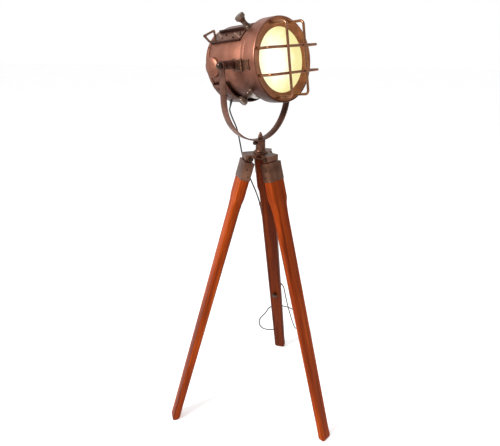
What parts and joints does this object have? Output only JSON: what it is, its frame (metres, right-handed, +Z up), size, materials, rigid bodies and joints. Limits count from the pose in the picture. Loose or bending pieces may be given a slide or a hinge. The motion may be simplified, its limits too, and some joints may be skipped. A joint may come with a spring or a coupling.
{
  "type": "tripod floor lamp",
  "caption": "Tripod floor lamp: a round spotlight head with a lens door and rod guard tilts in a U yoke that pans on a hub with three folding wooden legs.",
  "frame": {"origin": "on the floor, under the pan axis, between the three feet", "axes": "+Z up along the pan axis; -Y towards the viewer who sees the right and left legs in front; the beam points to +X -Y, tilted up"},
  "size_m": [0.6264, 0.9152, 1.4869],
  "materials": {
    "copper_shell": "antique copper lacquer over spun steel, satin with brushed turning marks",
    "bronze_fitting": "dark antique bronze, satin, worn along edges",
    "dark_steel": "dark oil-rubbed steel, satin",
    "thumb_screw": "dark nickel bronze, turned, satin",
    "guard_rod": "copper-plated rod, polished and lacquered",
    "lug": "light grey-brown cast metal, satin",
    "leg_wood": "red-brown stained hardwood with straight grain and clear varnish",
    "cord": "black PVC sheath, satin",
    "plug": "black moulded plastic",
    "glass": "frosted warm glass",
    "reflector": "spun bright aluminium",
    "ceramic": "glazed porcelain",
    "bulb": "opal glass bulb"
  },
  "bodies": {
    "hub": {"hub_casting": "bronze_fitting", "pan_bolt": "dark_steel", "finial_nut": "bronze_fitting", "pan_washer": "bronze_fitting", "leg_bolts": "dark_steel", "leg_nuts": "dark_steel", "cord_head": "cord", "cord_yoke": "cord", "cord_hub": "cord", "cord_floor": "cord", "plug": "plug"},
    "pan_lock": {"pan_lock_screw": "dark_steel"},
    "leg_right": {"leg_right": "leg_wood", "ferrule_right": "bronze_fitting", "ferrule_nails_right": "dark_steel"},
    "leg_left": {"leg_left": "leg_wood", "ferrule_left": "bronze_fitting", "ferrule_nails_left": "dark_steel"},
    "leg_rear": {"leg_rear": "leg_wood", "ferrule_rear": "bronze_fitting", "ferrule_nails_rear": "dark_steel", "leg_cord_clips": "dark_steel", "leg_knob": "dark_steel", "cord_leg": "cord"},
    "yoke": {"yoke_strap": "bronze_fitting", "tilt_spacers": "bronze_fitting"},
    "knob_near": {"tilt_knob_near": "bronze_fitting"},
    "knob_far": {"tilt_knob_far": "bronze_fitting"},
    "head": {"drum_shell": "copper_shell", "drum_collar": "copper_shell", "rear_cap": "copper_shell", "shell_screws": "dark_steel", "air_scoop": "copper_shell", "vent_rails": "dark_steel", "vent_panel": "copper_shell", "vent_gussets": "bronze_fitting", "vent_bolts": "dark_steel", "safety_loop": "bronze_fitting", "side_covers": "copper_shell", "trunnion_bosses": "copper_shell", "hinge_leaf_drum": "bronze_fitting", "hinge_pin": "dark_steel", "clamp_lugs": "lug", "reflector": "reflector", "lamp_socket": "ceramic", "bulb": "bulb", "cord_gland": "dark_steel", "cord_relief": "cord"},
    "clamp_top": {"clamp_screw_top": "thumb_screw"},
    "clamp_bottom": {"clamp_screw_bottom": "thumb_screw"},
    "clamp_far": {"clamp_screw_far": "thumb_screw"},
    "door": {"bezel_ring": "copper_shell", "lens_glass": "glass", "lens_gasket": "dark_steel", "guard_bar_top": "guard_rod", "guard_bar_bottom": "guard_rod", "guard_bar_near": "guard_rod", "guard_bar_far": "guard_rod", "hinge_leaf_door": "bronze_fitting", "door_screws": "dark_steel"}
  },
  "joints": [
    {"name": "head_pan", "type": "hinge", "parent": "hub", "child": "yoke", "pos_m": [0, 0, 1.095], "axis": [0, 0, 1], "range_deg": [-45, 45], "deforming": ["cord_yoke", "cord_head"]},
    {"name": "head_tilt", "type": "hinge", "parent": "yoke", "child": "head", "pos_m": [0, 0, 1.342], "axis": [-0.7071, -0.7071, 0], "range_deg": [-40, 40], "deforming": ["cord_head"]},
    {"name": "door_hinge", "type": "hinge", "parent": "head", "child": "door", "pos_m": [-0.05532, -0.12683, 1.34507], "axis": [0.0984, -0.0984, -0.9903], "range_deg": [0, 95]},
    {"name": "clamp_top_turn", "type": "hinge", "parent": "head", "child": "clamp_top", "pos_m": [-0.03451, -0.07103, 1.44563], "axis": [-0.6387, -0.1938, 0.7446], "range_deg": [0, 360]},
    {"name": "clamp_bottom_turn", "type": "hinge", "parent": "head", "child": "clamp_bottom", "pos_m": [-0.03016, -0.10219, 1.26701], "axis": [-0.6044, -0.4396, -0.6644], "range_deg": [0, 360]},
    {"name": "clamp_far_turn", "type": "hinge", "parent": "head", "child": "clamp_far", "pos_m": [0.09784, 0.05403, 1.40896], "axis": [0.4053, 0.7927, 0.4554], "range_deg": [0, 360]},
    {"name": "tilt_knob_near_turn", "type": "hinge", "parent": "head", "child": "knob_near", "pos_m": [-0.12021, -0.12021, 1.342], "axis": [-0.7071, -0.7071, 0], "range_deg": [0, 360]},
    {"name": "tilt_knob_far_turn", "type": "hinge", "parent": "head", "child": "knob_far", "pos_m": [0.10112, 0.10112, 1.342], "axis": [0.7071, 0.7071, 0], "range_deg": [0, 360]},
    {"name": "pan_lock_turn", "type": "hinge", "parent": "hub", "child": "pan_lock", "pos_m": [-0.01638, -0.01147, 1.0855], "axis": [-0.8192, -0.5736, 0], "range_deg": [0, 360]},
    {"name": "leg_right_fold", "type": "hinge", "parent": "hub", "child": "leg_right", "pos_m": [0.03093, -0.02987, 1.037], "axis": [0.6947, 0.7193, 0], "range_deg": [0, 16]},
    {"name": "leg_left_fold", "type": "hinge", "parent": "hub", "child": "leg_left", "pos_m": [-0.0409, -0.01329, 1.037], "axis": [0.309, -0.9511, 0], "range_deg": [0, 16]},
    {"name": "leg_rear_fold", "type": "hinge", "parent": "hub", "child": "leg_rear", "pos_m": [0.01185, 0.04133, 1.037], "axis": [-0.9613, 0.2756, 0], "range_deg": [0, 16], "deforming": ["cord_hub", "cord_floor"]}
  ]
}
